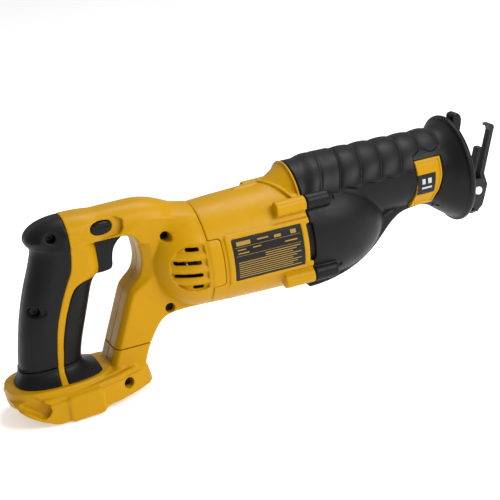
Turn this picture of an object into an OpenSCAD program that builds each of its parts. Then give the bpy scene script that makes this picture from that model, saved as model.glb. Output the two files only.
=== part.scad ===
// Cordless reciprocating saw, bare tool: D-handle, motor housing, ribbed front boot, pivoting shoe.
// Frame: x towards the blade, z up, origin at the centre of the base underside.
// Most modules are drawn in the tool's own frame, whose origin is the motor axis at the ring seam.

/* [Layout] */
// Height of the motor axis above the base underside
axis_height = 98; // [85:1:110]
// Distance from the base centre to the ring seam
seam_x = 118; // [100:1:135]

/* [Motor housing] */
// Outside radius of the motor housing at the ring seam
housing_r = 41.5; // [38:0.5:44]
// Outside radius of the motor housing where the boot starts
housing_front_r = 44.5; // [40:0.5:46]
// Length of the motor housing from the ring seam to the boot
housing_len = 84; // [78:1:90]
// Moulded wall thickness of the shells
wall = 3; // [2:0.25:4]

/* [Handle] */
// Half of the handle width, side to side
handle_half_w = 20; // [17:0.5:23]
// Thickness of the soft grip mouldings
grip_skin = 2.5; // [1.5:0.25:3.5]

/* [Base] */
// Length of the base along the tool
base_len = 106; // [95:1:115]
// Half width of the base at the rear
base_half_w = 36; // [32:0.5:40]
// Height of the base
base_h = 22; // [18:0.5:26]

/* [Front boot] */
// Height of the plunger and hand grip axis above the motor axis
grip_axis_z = 24; // [20:0.5:28]
// Radius of the hand grip part of the boot
boot_r = 31.5; // [29:0.5:34]
// Radius of the bulge round the gear case
bulge_r = 45; // [42:0.5:47]
// Number of finger ribs over the top of the boot
rib_count = 6; // [4:1:8]
// Height of the finger ribs
rib_h = 2.4; // [1:0.2:4]

/* [Drive] */
// Length of the blade stroke
stroke = 28.6; // [20:0.1:32]
// Number of teeth on the motor pinion
pinion_teeth = 8; // [6:1:12]
// Number of teeth on the crank gear
crank_teeth = 52; // [40:1:58]
// Radius of the plunger
plunger_r = 7.5; // [6:0.5:9]

/* [Nose] */
// Outside radius of the front rim of the boot
rim_r = 44.5; // [38:0.5:45]
// Width of the shoe over its two strips
shoe_w = 20; // [18:1:30]
// Thickness of the shoe plate
shoe_t = 2.5; // [2:0.25:4]
// Width of the blade slot between the strips of the shoe
blade_slot_w = 5.4; // [4.5:0.1:8]

/* [Hidden] */
$fn = 48;
far = 300;
slip = 0.05;
crank_x = 116;
crank_r = stroke / 2;
plunger_z = 18;
pinion_pitch_r = pinion_teeth / 2;
crank_pitch_r = crank_teeth / 2;
crank_face_z = -pinion_pitch_r;
crank_disc_r = crank_pitch_r + 3.4;
cup_r = crank_disc_r + 1.1;
cup_wall = 2.5;
motor_can_r = 27;
shaft_r = 3;
bearing_r = 8;
bearing_w = 7;
pin_r = 4;
yoke_top_z = plunger_z - plunger_r;
yoke_bottom_z = yoke_top_z - 5;
boot_rear_x = housing_len;
rim_x = 232;
rim_z = 17.5;
nose_tube_r = 15;
nose_tube_x = 235;
shoe_pivot_x = 246.5;
shoe_pivot_z = -2;
pivot_r = 2.2;
bracket_half_h = 4.2;
lock_x = -76;
lock_z = 44;
screw_r = 1.6;
head_r = 3.4;
head_h = 2.4;
base_x = -seam_x;
base_top_z = -axis_height + base_h;
foot_line_z = -58;
strut_seam_z = -58;
yellow = [0.93, 0.68, 0.07];
black = [0.13, 0.13, 0.14];
steel = [0.62, 0.63, 0.65];
dark_steel = [0.16, 0.16, 0.17];
copper = [0.72, 0.42, 0.22];
brass = [0.78, 0.64, 0.3];
alloy = [0.7, 0.71, 0.72];

// place of each handle screw, and the depth of its head seat from the middle plane
handle_screws_at = [[-116, 45, 9], [-28, 26, 12], [-33, -33, 12], [-138, -10, 9]];
base_screw_at = [-79, -83];
base_seat_y = 18;
boss_y = 36.5;
boss_z = 30.5;

// ---------- helpers ----------

// the tool's own frame, used by every module below
module tool() translate([seam_x, 0, axis_height]) children();

// points of a rounded oval, half sizes a and b, squareness p
function oval(a, b, p = 2.6, n = 40) = [for (i = [0:n - 1]) let (t = 360 * i / n)
    [a * sign(cos(t)) * pow(abs(cos(t)), 2 / p), b * sign(sin(t)) * pow(abs(sin(t)), 2 / p)]];

// a side view outline in x and z, extruded across the tool between y0 and y1
module side(pts, y0, y1) translate([0, y1, 0]) rotate([90, 0, 0]) linear_extrude(y1 - y0) polygon(pts);

// a bar along x with an outline in y and z
module bar(pts, x0, x1) translate([x0, 0, 0]) rotate([90, 0, 90]) linear_extrude(x1 - x0) polygon(pts);

// a cylinder along x
module rod_x(r, x0, x1, y = 0, z = 0) translate([x0, y, z]) rotate([0, 90, 0]) cylinder(r = r, h = x1 - x0);

// a cylinder along y
module rod_y(r, y0, y1, x = 0, z = 0) translate([x, y0, z]) rotate([-90, 0, 0]) cylinder(r = r, h = y1 - y0);

// a cylinder along z
module rod_z(r, z0, z1, x = 0, y = 0) translate([x, y, z0]) cylinder(r = r, h = z1 - z0);

module box(x0, x1, y0, y1, z0, z1) translate([x0, y0, z0]) cube([x1 - x0, y1 - y0, z1 - z0]);

// a body turned about the x axis from points [x, radius], raised by z
module turned(pts, z = 0) translate([0, 0, z]) rotate([0, 90, 0]) rotate([0, 0, 180])
    rotate_extrude() polygon([for (p = pts) [p[1], p[0]]]);

// the half of the tool on one side: s = -1 right, s = 1 left
module half(s) intersection() {
    children();
    if (s < 0) box(-far, far, -far, 0, -far, far); else box(-far, far, 0, far, -far, far);
}

// ---------- handle ----------

// side outline of the grip; d pulls the outline in by the skin thickness
function grip_side(d) = [[-86, 57 - d], [-111, 58 - d], [-122, 54.8 - d], [-129 + d / 2, 49.5 - d],
    [-132.6 + d, 42.5], [-130.9 + d, 34.5], [-133.2 + d, 22], [-139.2 + d, 8], [-144.2 + d, -7],
    [-149.2 + d, -22], [-152.6 + d, -38], [-156.4 + d, foot_line_z], [-107.4 - d, foot_line_z],
    [-103.6 - d, -43], [-95 - d, -18], [-91 - d, -4], [-88.5 - d, 4], [-84.5 - d, 10], [-84, 38]];
grip_lean = 13.4;
grip_half_len = 25.5;
grip_top_x = -107;

module grip_body(d) intersection() {
    side(grip_side(d), -far, far);
    translate([grip_top_x, 0, 38]) rotate([0, grip_lean, 0]) translate([0, 0, -120])
        linear_extrude(180) polygon(oval(grip_half_len - d, handle_half_w - d, 2.5));
}

module rear_zone() side([[-104, 70], [-103, 34], [-105.5, 16], [-110, 9], [-114, 0], [-118, -9], [-124, -26],
    [-127.5, -44], [-129, -58], [-129.5, -70], [-190, -70], [-190, 70]], -far, far);

module front_zone() side([[-80, 6.2], [-98, 5.9], [-105, 2.9], [-110, -6], [-116.5, -22], [-121.4, -39],
    [-123.2, -52], [-124, -70], [-80, -70]], -far, far);

beam_outline = [[-90, 57.6], [-36, 58], [-28, 55], [-9, 44], [-3, 38], [-3, 10], [-38, 8], [-47, 14],
    [-50, 26], [-56, 35.6], [-90, 38.6]];
strut_outline = [[-30, 24], [-47, 24], [-47, -4], [-54, -7], [-61.5, -10.5], [-67, -22], [-83, strut_seam_z],
    [-54, strut_seam_z], [-45, -41], [-36, -36], [-12, -38], [-6, -20]];
beam_section = [[-handle_half_w, 20], [-handle_half_w, 46], [-17, 53], [-10, 58.5], [10, 58.5], [17, 53],
    [handle_half_w, 46], [handle_half_w, 20], [18, 5], [-18, 5]];

module tail_solid(r) turned(concat([for (i = [0:16]) let (a = 180 - 90 * i / 16)
    [-5 + r * cos(a), r * sin(a)]], [[0, r], [0, 0]]));

module handle_cavity() difference() {
    union() {
        tail_solid(housing_r - wall);
        // handle beam, with the trigger switch space behind it
        side([[-100, 52.5], [-36, 53], [-29, 50.5], [-14, 41], [-14, 20], [-40, 20], [-53, 39.5], [-100, 42]],
            -15, 15);
        intersection() {
            grip_body(grip_skin + wall);
            side([[-90, 52], [-132, 48], [-160, -52], [-108, -52], [-86, 20]], -far, far);
        }
        // duct for the leads down the strut
        side([[-30, 10], [-43, 10], [-43, -8], [-55, -16], [-62, -28], [-75, -60], [-58, -60], [-47, -38],
            [-30, -30]], -15, 15);
    }
    for (p = handle_screws_at) rod_y(5.5, -far, far, p[0], p[1]);
    // seat of the rear motor bearing
    rod_x(bearing_r + 3, -60, -26);
}

module tab_panel(r0, r1) intersection() {
    difference() { rod_x(r1, 0, 10); rod_x(r0, -1, 11); }
    union() for (s = [-1, 1]) box(-1, 11, min(0, s * 60), max(0, s * 60), -19, 19);
}

// half-moon recess round the vents
vent_outline = concat([[-4, 17.5]], [for (i = [0:12]) let (a = 105 + 150 * i / 12)
    [-11 + 20 * cos(a), 18 * sin(a)]], [[-4, -17.5]]);
module vent_recess() difference() {
    side(vent_outline, -far, far);
    tail_solid(housing_r - 1.2);
}

module handle_solid() difference() {
    union() {
        difference() {
            grip_body(0);
            difference() { union() { rear_zone(); front_zone(); } grip_body(grip_skin); }
        }
        intersection() { side(beam_outline, -far, far); bar(beam_section, -200, 20); }
        intersection() {
            side(strut_outline, -far, far);
            box(-200, 20, -handle_half_w, handle_half_w, -90, 30);
        }
        tail_solid(housing_r);
        tab_panel(housing_r - 1, housing_r + 1.1);
    }
    handle_cavity();
    // bore for the shaft end, and the seat that takes the rear bearing
    rod_x(bearing_r + slip, -36, -20);
    rod_x(shaft_r + 1, -39, -20);
    // trigger opening
    box(-108, -60, -8.6, 8.6, 4.4, 36.8);
    box(-126, -108, -10.2, 10.2, 6, 34);
    // lock-off button bore and the shallow recesses round it
    translate([lock_x, 0, lock_z]) rotate([90, 0, 0]) linear_extrude(2 * far, center = true)
        polygon(oval(8.7, 5.2, 2.4));
    for (s = [-1, 1]) translate([lock_x - 1, s * (handle_half_w + 4), lock_z]) rotate([90, 0, 0])
        linear_extrude(9.6, center = true) polygon(oval(17, 6, 2.6));
    vent_recess();
    // motor vents, four slots on each side
    for (s = [-1, 1], i = [0:3]) let (z = 13.2 - 8.8 * i, len = i == 0 || i == 3 ? 11 : 20)
        box(-8 - len, -8, min(0, s * far), max(0, s * far), z - 1.4, z + 1.4);
    for (p = handle_screws_at) {
        rod_y(head_r + 0.3, -far, -p[2], p[0], p[1]);
        rod_y(screw_r + slip, -p[2] - 1, 10, p[0], p[1]);
    }
    // flat joint faces at the base and at the ring seam
    box(-200, 0, -far, far, -far, foot_line_z);
}

module handle_shell(s) color(yellow) tool() half(s) handle_solid();

module rear_grip() color(black) tool() difference() {
    intersection() { grip_body(0); rear_zone(); }
    grip_body(grip_skin);
    for (p = [handle_screws_at[0], handle_screws_at[3]]) rod_y(head_r + 1, -far, 0, p[0], p[1]);
}

module front_grip() color(black) tool() difference() {
    intersection() { grip_body(0); front_zone(); }
    grip_body(grip_skin);
    box(-108, -60, -8.6, 8.6, 4.4, 36.8);
}

// flared boot between the grip and the base
foot_x = -126;
foot_floor_z = -70.5;
neck_x = -131.9;
foot_half_l = 35.5;
foot_half_w = 27.5;
function foot_bore(c) = oval(19 + c, 14 + c, 2.4, 32);
module grip_foot() color(black) tool() difference() {
    hull() {
        translate([neck_x, 0, foot_line_z - 2]) linear_extrude(2) polygon(oval(25.5, 20, 2.4, 32));
        translate([neck_x, 0, -66]) linear_extrude(1) polygon(oval(28, 22, 2.4, 32));
        translate([foot_x, 0, foot_floor_z]) linear_extrude(1.5)
            polygon(oval(foot_half_l, foot_half_w, 2.4, 32));
    }
    translate([neck_x, 0, -80]) linear_extrude(30) polygon(foot_bore(slip));
}

// ---------- trigger and switch ----------

module trigger() color(black) tool() difference() {
    side([[-61, 35.6], [-65, 31], [-69, 24], [-71.5, 16], [-73.5, 9], [-76, 6], [-80, 5], [-86, 5], [-98, 7],
        [-98, 33], [-86, 35.6]], -8, 8);
    // lightening pocket at the back
    box(-120, -90, -5.5, 5.5, 10, 30);
}

module trigger_switch() color(dark_steel) tool() {
    box(-125.8, -108.5, -10, 10, 6.2, 33.8);
    rod_x(3, -108.5, -98.2, 0, 20);
}

module lock_button() color(black) tool() difference() {
    translate([lock_x, 0, lock_z]) rotate([90, 0, 0]) linear_extrude(2 * (handle_half_w + 0.6), center = true)
        polygon(oval(8.5, 5, 2.4));
    // grooves for the thumb on both ends
    for (s = [-1, 1], i = [-2:2]) translate([lock_x + i * 2.6, s * (handle_half_w + 0.6), lock_z])
        box(-0.5, 0.5, -0.6, 0.6, -3.2, 3.2);
}

// ---------- battery base ----------

// plan outline of the base; d pulls it in
function base_plan(d) = let (x0 = base_x - base_len / 2, x1 = base_x + base_len / 2, w = base_half_w - d,
    right = [for (i = [0:6]) let (a = 180 + 15 * i)
        [x0 + 24 + (24 - d) * cos(a), -w + 24 - d + (24 - d) * sin(a)]],
    front = [[x0 + 76, -w], [x1 + 3 - d, -w + 16], [x1 + 10 - d, -w + 27]],
    edge = concat(right, front))
    concat(edge, [for (i = [len(edge) - 1:-1:0]) [edge[i][0], -edge[i][1]]]);

socket_x0 = -156;
socket_x1 = -82;
socket_half_w = 26;
socket_depth = 14;

module base_solid() difference() {
    union() {
        translate([0, 0, -axis_height]) linear_extrude(base_h - 4) polygon(base_plan(0));
        translate([0, 0, base_top_z - 4]) linear_extrude(2) polygon(base_plan(1.2));
        translate([0, 0, base_top_z - 2]) linear_extrude(2) polygon(base_plan(3.5));
        // crown under the foot and the strut
        intersection() {
            translate([0, 0, base_top_z - 2]) linear_extrude(6) polygon(base_plan(9));
            side([[-172, -80], [-172, -76], [-104, -74], [-92, -71], [-60, -74], [-60, -80]], -far, far);
        }
        // raised platform that the grip foot stands on
        translate([foot_x, 0, base_top_z - 1]) linear_extrude(foot_floor_z - base_top_z + 1)
            polygon(oval(foot_half_l + 4, foot_half_w + 4, 2.4, 40));
        // lower end of the strut
        side([[-83, strut_seam_z], [-54, strut_seam_z], [-58, -68], [-61, -80], [-91, -80], [-87, -68]],
            -handle_half_w, handle_half_w);
        // raised pads on both sides
        for (s = [-1, 1]) box(-126, -100, min(s * 34, s * (base_half_w + 1.2)),
            max(s * 34, s * (base_half_w + 1.2)), -96, -80);
        // neck that carries the grip inside the foot
        translate([neck_x, 0, base_top_z - 4]) linear_extrude(foot_line_z - base_top_z + 4)
            polygon(foot_bore(0));
    }
    // socket for the battery, open below
    box(socket_x0, socket_x1, -socket_half_w, socket_half_w, -far, -axis_height + socket_depth);
    // space over the terminal block, and the duct up the strut
    box(-152, -100, -20, 20, -axis_height + socket_depth - 1, -80);
    side([[-75, -50], [-59, -50], [-67, -84], [-87, -84]], -15, 15);
    // seat of the grip foot round the neck
    difference() {
        translate([foot_x, 0, foot_floor_z]) linear_extrude(20)
            polygon(oval(foot_half_l + 0.1, foot_half_w + 0.1, 2.4, 32));
        translate([neck_x, 0, -80]) linear_extrude(40) polygon(foot_bore(0));
    }
    // duct for the leads up the neck
    translate([neck_x, 0, -82]) linear_extrude(40) polygon(oval(13, 9, 2.4, 32));
    // the underside rises in a curve to the rear end
    side([[-138, -99], [-138, -98], [-144, -96.6], [-152, -93.6], [-160, -89.4], [-166, -84.6], [-170, -79],
        [-180, -77], [-180, -99]], -far, far);
    // release catch recesses at the rear of both sides
    for (s = [-1, 1]) translate([-160.5, s * 31, -81.5]) rotate([0, 0, 45 * s]) rotate([90, 0, 0])
        linear_extrude(6, center = true) polygon(oval(8, 3.6, 2.6, 32));
    rod_y(head_r + 0.3, -far, -base_seat_y, base_screw_at[0], base_screw_at[1]);
    rod_y(screw_r + slip, -base_seat_y - 1, base_seat_y, base_screw_at[0], base_screw_at[1]);
}

module base_shell(s) color(yellow) tool() half(s) base_solid();

module terminal_block() color(dark_steel) tool()
    box(-150, -112, -19, 19, -axis_height + socket_depth - 1, -80.2);

module battery_contacts() color(brass) tool() for (y = [-12, -4, 4, 12])
    box(-146, -122, y - 0.6, y + 0.6, -axis_height + 3, -axis_height + socket_depth - 1);

// ---------- motor housing ----------

// outside radius of the motor housing at x
function housing_at(x) = housing_r + (housing_front_r - housing_r) * pow(x / housing_len, 0.6);
function housing_profile(x0, x1, d) = concat([[x0, 0], [x0, housing_r - d]],
    [for (x = [4, 12, 26, 44, 64, housing_len]) [x, housing_at(x) - d]],
    x1 > housing_len ? [[x1, housing_front_r - d], [x1, 0]] : [[x1, 0]]);

module boss_ribs(x0, x1, r = 6) for (sy = [-1, 1], sz = [-1, 1])
    rod_x(r, x0, x1, sy * boss_y, sz * boss_z);

module motor_housing() color(yellow) tool() difference() {
    union() {
        turned(housing_profile(0, housing_len, 0));
        // ramp that carries the housing up to the boot
        turned([[56, 0], [56, 18], [housing_len, boot_r + 0.6], [housing_len, 0]], grip_axis_z);
        // small rib along the top
        box(40, 60, -2.2, 2.2, 38, housing_r + 4.2);
        boss_ribs(58, housing_len);
        // raised frame round the label
        intersection() {
            turned([[14, 0], [14, housing_at(14) + 1.3], [80, housing_at(80) + 1.3], [80, 0]]);
            for (s = [-1, 1]) box(14, 80, min(0, s * 60), max(0, s * 60), -21.5, 20);
        }
    }
    difference() {
        union() {
            turned(housing_profile(-1, housing_len + 1, wall));
            turned([[62, 0], [62, 14], [housing_len + 1, boot_r - wall], [housing_len + 1, 0]], grip_axis_z);
        }
        // bulkheads that hold the motor
        for (x = [8, 46]) difference() { rod_x(far / 6, x, x + 3); rod_x(motor_can_r, x - 1, x + 4); }
    }
    // tab panel of the rear shell
    tab_panel(housing_r - 1.05, far);
    for (sy = [-1, 1], sz = [-1, 1]) rod_x(2.1 + slip, 60, far, sy * boss_y, sz * boss_z);
    label_plate(0.02, 2);
}

// shell of a turned cone patch that the rating label fills
module label_plate(gap, t) intersection() {
    turned([[18, housing_at(18) + 0.2 - gap], [18, housing_at(18) + t], [76, housing_at(76) + t],
        [76, housing_at(76) + 0.2 - gap]]);
    box(18, 76, -60, 0, -17.8, 16.4);
}

module rating_label() color(black) tool() label_plate(0, 1);

// ---------- gear case ----------

plate_x = housing_len;
plate_t = 4;

module cup(r, z0, z1) rod_z(r, z0, z1, crank_x);

module gear_case_outer(c) {
    intersection() {
        cup(cup_r + cup_wall + c, -22 - c, -2);
        box(plate_x + plate_t - c, far, -far, far, -far, far);
    }
    intersection() {
        cup(cup_r + cup_wall + c, -3, 30 + c);
        box(plate_x + plate_t - c, far, -26.5 - c, 26.5 + c, -far, far);
    }
    rod_z(12 + c, -33 - c, -10, crank_x);
    rod_x(nose_tube_r + c, 130, nose_tube_x, 0, plunger_z);
}

module gear_case() color(alloy) tool() difference() {
    gear_case_outer(0);
    intersection() { cup(cup_r, -19.5, -1.9); box(0, far, -far, far, -far, far); }
    intersection() { cup(cup_r, -2, 27); box(plate_x - 1, far, -24.5, 24.5, -far, far); }
    rod_x(11 + slip, 120, 196.1, 0, plunger_z);
    rod_x(13, 196, far, 0, plunger_z);
    rod_z(9, -30.5, -19, crank_x);
}

module motor_plate() color(alloy) tool() difference() {
    union() {
        rod_x(39, plate_x, plate_x + plate_t);
        rod_x(bearing_r + 3, plate_x - 9, plate_x);
    }
    rod_x(bearing_r + slip, plate_x - 10, plate_x - 1);
    rod_x(5.2, plate_x - 2, far);
    // clearance for the crank gear
    cup(cup_r, -20, 27);
}

// ---------- front boot ----------

boot_end_x = 214;
bracket_x0 = 206;

rib_pitch = 18.2;
// height of the finger ribs at x
function rib_at(x) = let (n = (x - 109) / rib_pitch)
    n < -0.5 || n > rib_count - 0.5 ? 0 : rib_h * pow(0.5 + 0.5 * cos(360 * n), 1.4);

bulge_stretch = 1.28;
module bulge(r, x0) turned(concat([[x0, 0], [x0, r - 0.4]], [for (i = [0:14]) let (a = 90 - 90 * i / 14)
    [106 + bulge_stretch * r * cos(a), r * sin(a)]]));

function ribbed(x0, x1, r, step) = concat([[x0, 0]], [for (x = [x0:step:x1]) [x, r + rib_at(x)]], [[x1, 0]]);

module boot_solid() union() {
    // lower half of the hand grip is plain, the upper half carries the ribs
    turned([[boot_rear_x, 0], [boot_rear_x, boot_r + 0.4], [110, boot_r], [150, boot_r - 2],
        [198, boot_r - 3], [boot_end_x, boot_r - 3], [boot_end_x, 0]], grip_axis_z);
    intersection() {
        turned(ribbed(boot_rear_x, boot_end_x, boot_r, 1.8), grip_axis_z);
        box(80, 220, -far, far, grip_axis_z - 3, far);
    }
    bulge(bulge_r, boot_rear_x);
    // keel under the gear case
    side([[boot_rear_x, 0], [boot_rear_x, -47.5], [92, -47], [120, -42], [134, -37], [148, -28.5],
        [165, -13.5], [176, -6], [190, -4.4], [boot_end_x, -4.4], [boot_end_x, 10]], -22, 22);
    boss_ribs(boot_rear_x, 103, 6.4);
    // flared front rim
    turned([[200, 0], [200, 22], [207, 27], [213, 31], [219, 35.2], [225, 39.8], [rim_x - 2, rim_r],
        [rim_x, rim_r], [rim_x + 1, rim_r - 1.2], [rim_x + 1, 0]], rim_z);
}

module front_boot() color(black) tool() difference() {
    boot_solid();
    gear_case_outer(0.3);
    // space round the motor plate
    rod_x(39.3, plate_x - 1, plate_x + plate_t + 0.3);
    // mouth of the flare
    turned([[210, 0], [210, 20], [214, 26], [222, 33], [rim_x + 2, rim_r - 3], [rim_x + 2, 0]], rim_z);
    for (sy = [-1, 1], sz = [-1, 1]) {
        rod_x(2.1 + slip, 80, 110, sy * boss_y, sz * boss_z);
        rod_x(3.9, 99, 110, sy * boss_y, sz * boss_z);
    }
    badge_patch(0.02, 4);
    // way out for the shoe bracket below the nose tube
    box(bracket_x0 - 0.4, 260, -16.4, 16.4, shoe_pivot_z - 5.4, 9.4);
}

// the patch of yellow trim on the right of the neck
patch_x0 = 184.5;
patch_x1 = 205.5;
module badge_patch(gap, t) intersection() {
    difference() {
        rod_x(boot_r - 4 + t, patch_x0 - gap, patch_x1 + gap, 0, grip_axis_z - 3);
        rod_x(boot_r - 4.6 - gap, patch_x0 - 1, patch_x1 + 1, 0, grip_axis_z - 3);
    }
    box(patch_x0 - gap, patch_x1 + gap, -far, -12, -7 - gap, 32 + gap);
}

module badge_plate() color(yellow) tool() difference() {
    badge_patch(0, 1.8);
    badge_inlay(0.02);
}

module badge_inlay(gap) intersection() {
    difference() {
        rod_x(boot_r - 1.8, patch_x0 + 4 - gap, patch_x1 - 4 + gap, 0, grip_axis_z - 3);
        rod_x(boot_r - 3.2 - gap, patch_x0, patch_x1, 0, grip_axis_z - 3);
    }
    box(patch_x0 + 4 - gap, patch_x1 - 4 + gap, -far, -12, 2 - gap, 19 + gap);
}

module badge() color(black) tool() badge_inlay(0);

// ---------- screws ----------

// screw along y: head seat at y0, head on the -y side, shank to y1
module screw_y(x, z, y0, y1) difference() {
    union() { rod_y(screw_r, y0, y1, x, z); rod_y(head_r, y0 - head_h, y0, x, z); }
    rod_y(1.4, y0 - head_h - 1, y0 - head_h + 1.2, x, z, $fn = 6);
}

module handle_screws() color(steel) tool() for (p = handle_screws_at) screw_y(p[0], p[1], -p[2], 9.5);

module base_screw() color(steel) tool()
    screw_y(base_screw_at[0], base_screw_at[1], -base_seat_y, base_seat_y - 0.5);

module gear_case_screws() color(steel) tool() for (sy = [-1, 1], sz = [-1, 1]) difference() {
    union() {
        rod_x(2.1, 62, 99, sy * boss_y, sz * boss_z);
        rod_x(3.6, 99, 102, sy * boss_y, sz * boss_z);
    }
    rod_x(1.6, 100.6, 104, sy * boss_y, sz * boss_z, $fn = 6);
}

// ---------- motor ----------

module motor_can() color(steel) tool() difference() {
    rod_x(motor_can_r - slip, -2, 58);
    rod_x(motor_can_r - 2.2, -3, 56);
    rod_x(7, 50, 60);
}

module motor_magnets() color(dark_steel) tool() intersection() {
    difference() { rod_x(motor_can_r - 2.2, 6, 44); rod_x(21.2, 5, 45); }
    for (s = [-1, 1]) box(0, 50, min(s * 9, s * 40), max(s * 9, s * 40), -18, 18);
}

module brush_plate() color(black) tool() difference() {
    rod_x(motor_can_r - slip, -5, -2);
    rod_x(12, -6, 0);
}

brush_x0 = -16;
module brush_holders() color(brass) tool() for (s = [-1, 1]) difference() {
    box(brush_x0, -5, min(s * 12, s * 25), max(s * 12, s * 25), -5, 5);
    box(brush_x0 + 1.2, -6.2, min(s * 11, s * 26), max(s * 11, s * 26), -3.8, 3.8);
}

module carbon_brushes() color(dark_steel) tool() for (s = [-1, 1])
    box(brush_x0 + 1.3, -6.3, min(s * 9.3, s * 22), max(s * 9.3, s * 22), -3.7, 3.7);

module armature_shaft() color(steel) tool() rod_x(shaft_r, -35, 95);

// a turned piece of the armature with the shaft passing through it
module on_shaft(r, x0, x1) difference() { rod_x(r, x0, x1); rod_x(shaft_r, x0 - 1, x1 + 1); }

module armature_core() color(dark_steel) tool() difference() {
    on_shaft(20.4, 6, 46);
    for (i = [0:11]) rotate([30 * i, 0, 0]) box(5, 47, -1.2, 1.2, 14, 25);
}

module armature_windings() color(copper) tool() { on_shaft(17, 0, 6); on_shaft(17, 46, 50); }

module commutator() color(copper) tool() difference() {
    on_shaft(9, -18, 0);
    for (i = [0:11]) rotate([30 * i + 15, 0, 0]) box(-19, -4, -0.3, 0.3, 8, 10);
}

module motor_fan() color(black) tool() {
    on_shaft(6, 61, 71);
    on_shaft(30, 60, 62);
    for (i = [0:8]) rotate([40 * i, 0, 0]) box(61, 69, -0.7, 0.7, 11, 29);
}

module rear_motor_bearing() color(steel) tool() on_shaft(bearing_r, -35, -35 + bearing_w);

module front_motor_bearing() color(steel) tool() on_shaft(bearing_r, 75.5, 75.5 + bearing_w);

// spur outline: n teeth of module 1, slimmed for running clearance
function gear_outline(n, root, tip, duty) = [for (i = [0:n - 1], k = [0:3]) let (
    a = 360 / n * (i + [-0.5 * duty - 0.12, -0.5 * duty + 0.1, 0.5 * duty - 0.1, 0.5 * duty + 0.12][k]),
    r = [root, tip, tip, root][k]) [r * cos(a), r * sin(a)]];

pinion_x0 = crank_x - crank_pitch_r - 2;
pinion_x1 = crank_x - crank_pitch_r + 2;
module motor_pinion() color(steel) tool() difference() {
    translate([pinion_x0, 0, 0]) rotate([90, 0, 90]) rotate([0, 0, 180 / pinion_teeth])
        linear_extrude(pinion_x1 - pinion_x0)
        polygon(gear_outline(pinion_teeth, pinion_pitch_r - 0.75, pinion_pitch_r + 0.85, 0.34));
    rod_x(shaft_r, 80, far);
}

// ---------- crank and plunger ----------

tooth_half = 0.4;
module crank_gear() color(steel) tool() translate([crank_x, 0, 0]) difference() {
    union() {
        rod_z(crank_disc_r, -18, crank_face_z - 1.25);
        for (i = [0:crank_teeth - 1]) rotate([0, 0, 360 / crank_teeth * i])
            box(crank_pitch_r - 1.8, crank_pitch_r + 1.8, -tooth_half, tooth_half, crank_face_z - 2,
                crank_face_z + 0.5);
    }
    rod_z(5, -19, 0);
    rod_z(pin_r, -14, 0, -crank_r);
    rod_z(6, -12, 0, crank_r);
}

module crank_shaft() color(steel) tool() rod_z(5, -30.2, -6, crank_x);

module crank_pin() color(steel) tool() rod_z(pin_r, -14, yoke_bottom_z - 0.5, crank_x - crank_r);

module crank_bearing() color(steel) tool() difference() {
    rod_z(9 - slip, -30.5, -22.5, crank_x);
    rod_z(5 + slip, -30.3, -22, crank_x);
}

module yoke() color(steel) tool() translate([crank_x - crank_r, 0, 0]) difference() {
    box(-7, 7, -21, 21, yoke_bottom_z, yoke_top_z + 1);
    box(-pin_r - 0.1, pin_r + 0.1, -18.3, 18.3, yoke_bottom_z - 1, yoke_top_z + 0.4);
    rod_x(plunger_r, -far, far, 0, plunger_z);
}

clamp_x0 = 197.5;
module plunger() color(steel) tool() rod_x(plunger_r, crank_x - crank_r - 7, clamp_x0 + 1, 0, plunger_z);

module plunger_bushing() color(brass) tool() difference() {
    rod_x(11, 148, 190, 0, plunger_z);
    rod_x(plunger_r + slip, 140, 200, 0, plunger_z);
}

module plunger_seal() color(black) tool() difference() {
    rod_x(11, 190.2, 195, 0, plunger_z);
    rod_x(plunger_r + slip, 140, 200, 0, plunger_z);
}

blade_slot_h = 13;
blade_slot_t = 1.8;
module blade_slot_cut() box(clamp_x0 + 4, far, -blade_slot_t / 2, blade_slot_t / 2,
    plunger_z - blade_slot_h / 2, plunger_z + blade_slot_h / 2);

module blade_clamp() color(dark_steel) tool() difference() {
    union() {
        rod_x(9.5, clamp_x0 + 1, clamp_x0 + 20, 0, plunger_z);
        rod_x(11.6, clamp_x0 + 1, clamp_x0 + 3, 0, plunger_z);
    }
    blade_slot_cut();
}

module clamp_sleeve() color(steel) tool() difference() {
    rod_x(12, clamp_x0 + 3.1, clamp_x0 + 19, 0, plunger_z);
    rod_x(9.5 + slip, clamp_x0, clamp_x0 + 30, 0, plunger_z);
}

// lever ring on the end of the nose tube, with the thumb tab over the rim
lever_x0 = nose_tube_x - 4;
module release_lever() color(black) tool() difference() {
    union() {
        rod_x(nose_tube_r + 4, lever_x0, nose_tube_x + 4, 0, plunger_z);
        side([[235.6, 28], [nose_tube_x + 4, 28], [nose_tube_x + 4, 50], [241, 55.4], [246, 56.4],
            [247, 58.5], [246, 62], [242, 64.6], [238, 64.8], [235.6, 63]], -6, 6);
    }
    rod_x(nose_tube_r + slip, lever_x0 - 1, nose_tube_x + 0.1, 0, plunger_z);
    rod_x(13.2, lever_x0, far, 0, plunger_z);
}

// ---------- shoe ----------

module shoe_bracket() color(dark_steel) tool() difference() {
    union() {
        for (s = [-1, 1]) {
            box(bracket_x0, shoe_pivot_x, min(s * 13.4, s * 16), max(s * 13.4, s * 16),
                shoe_pivot_z - bracket_half_h, shoe_pivot_z + bracket_half_h);
            rod_y(bracket_half_h, min(s * 13.4, s * 16), max(s * 13.4, s * 16), shoe_pivot_x, shoe_pivot_z);
        }
        // saddle under the nose tube
        box(bracket_x0, bracket_x0 + 11, -16, 16, shoe_pivot_z - bracket_half_h, 9);
    }
    rod_x(nose_tube_r, 190, 230, 0, plunger_z);
    rod_y(pivot_r + slip, -far, far, shoe_pivot_x, shoe_pivot_z);
}

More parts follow.
